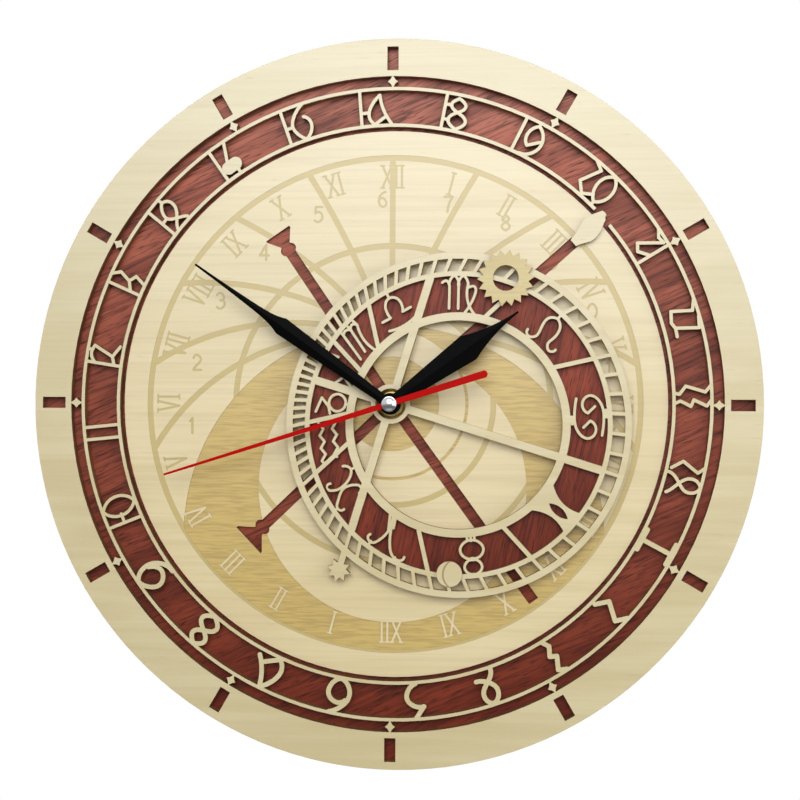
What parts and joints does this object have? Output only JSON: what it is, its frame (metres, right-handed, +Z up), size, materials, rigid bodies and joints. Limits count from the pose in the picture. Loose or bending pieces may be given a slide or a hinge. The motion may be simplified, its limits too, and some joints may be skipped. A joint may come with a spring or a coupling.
{
  "type": "wall clock",
  "caption": "Round wooden wall clock with a fretted hour ring, an engraved astrolabe dial, an off-centre zodiac ring and a geared quartz movement that turns its hands.",
  "frame": {"origin": "on the axis of the hands, at the wall: the rear face of the movement cover", "axes": "+Z up towards the twelve, +Y out of the back into the wall, +X to the viewer's right"},
  "size_m": [0.3, 0.0374, 0.3],
  "materials": {
    "red_wood": "stained veneer, satin",
    "pale_wood": "plain plywood face with toasted cut edges",
    "dial_wood": "plain plywood face, engraved darker",
    "yellow_wood": "yellow stained plywood",
    "black_hand": "black enamel",
    "red_hand": "red enamel",
    "chrome_cap": "polished",
    "black_plastic": "moulded, matt",
    "grey_plastic": "moulded, matt",
    "white_plastic": "moulded, satin",
    "brass": "turned",
    "rubber": "matt",
    "ferrite": "matt",
    "steel": "plain",
    "copper": "enamelled copper wire",
    "board_green": "satin",
    "battery_jacket": "plain printed jacket"
  },
  "bodies": {
    "clock": {"base_board": "red_wood", "hour_ring": "pale_wood", "dial_disc": "dial_wood", "zodiac_backing": "red_wood", "zodiac_fret": "pale_wood", "sun_disc": "yellow_wood", "moon_disc": "pale_wood", "pointing_hand": "pale_wood", "movement_case": "black_plastic", "hanging_tab": "black_plastic", "movement_cover": "black_plastic", "threaded_bushing": "brass", "rubber_gasket": "rubber", "clamp_nut": "brass", "stator": "steel", "coil_core": "steel", "coil_bobbin": "white_plastic", "coil_winding": "copper", "circuit_board": "board_green", "quartz_crystal": "steel", "control_chip": "black_plastic", "contact_positive": "steel", "contact_negative": "steel"},
    "minute": {"minute_pipe": "brass", "minute_hand": "black_hand"},
    "hour": {"hour_wheel": "white_plastic", "hour_hand": "black_hand"},
    "motion": {"motion_wheel": "white_plastic"},
    "knob": {"setting_knob": "grey_plastic"},
    "second": {"seconds_wheel": "white_plastic", "second_hand": "red_hand", "centre_cap": "chrome_cap"},
    "third": {"third_wheel": "white_plastic"},
    "centre": {"centre_wheel": "white_plastic"},
    "intermediate": {"intermediate_wheel": "white_plastic"},
    "rotor": {"rotor_pinion": "white_plastic", "rotor_magnet": "ferrite"},
    "cell": {"battery": "battery_jacket"}
  },
  "joints": [
    {"name": "minute_turn", "type": "hinge", "parent": "clock", "child": "minute", "pos_m": [0, 0, 0], "axis": [0, 1, 0], "continuous": true},
    {"name": "hour_turn", "type": "hinge", "parent": "clock", "child": "hour", "pos_m": [0, 0, 0], "axis": [0, 1, 0], "continuous": true},
    {"name": "motion_turn", "type": "hinge", "parent": "clock", "child": "motion", "pos_m": [-0.00831, 0, 0.0048], "axis": [0, 1, 0], "continuous": true},
    {"name": "knob_turn", "type": "hinge", "parent": "clock", "child": "knob", "pos_m": [-0.01733, 0, 0.00808], "axis": [0, 1, 0], "continuous": true},
    {"name": "second_turn", "type": "hinge", "parent": "clock", "child": "second", "pos_m": [0, 0, 0], "axis": [0, 1, 0], "continuous": true},
    {"name": "third_turn", "type": "hinge", "parent": "clock", "child": "third", "pos_m": [0.01088, 0, 0], "axis": [0, 1, 0], "continuous": true},
    {"name": "centre_turn", "type": "hinge", "parent": "clock", "child": "centre", "pos_m": [0, 0, 0], "axis": [0, 1, 0], "continuous": true},
    {"name": "intermediate_turn", "type": "hinge", "parent": "clock", "child": "intermediate", "pos_m": [0.00188, 0, 0.01064], "axis": [0, 1, 0], "continuous": true},
    {"name": "rotor_turn", "type": "hinge", "parent": "clock", "child": "rotor", "pos_m": [0.00608, 0, 0.01791], "axis": [0, 1, 0], "continuous": true},
    {"name": "cell_slide", "type": "slide", "parent": "clock", "child": "cell", "axis": [0, 1, 0], "range_m": [0, 0.02]}
  ],
  "couplings": [
    {"joint": "hour_turn", "follows": "minute_turn", "ratio": 0.083333},
    {"joint": "motion_turn", "follows": "minute_turn", "ratio": -0.33333},
    {"joint": "knob_turn", "follows": "minute_turn", "ratio": 1},
    {"joint": "third_turn", "follows": "second_turn", "ratio": -0.13333},
    {"joint": "centre_turn", "follows": "second_turn", "ratio": 0.016667},
    {"joint": "intermediate_turn", "follows": "second_turn", "ratio": -5},
    {"joint": "rotor_turn", "follows": "second_turn", "ratio": 30}
  ]
}
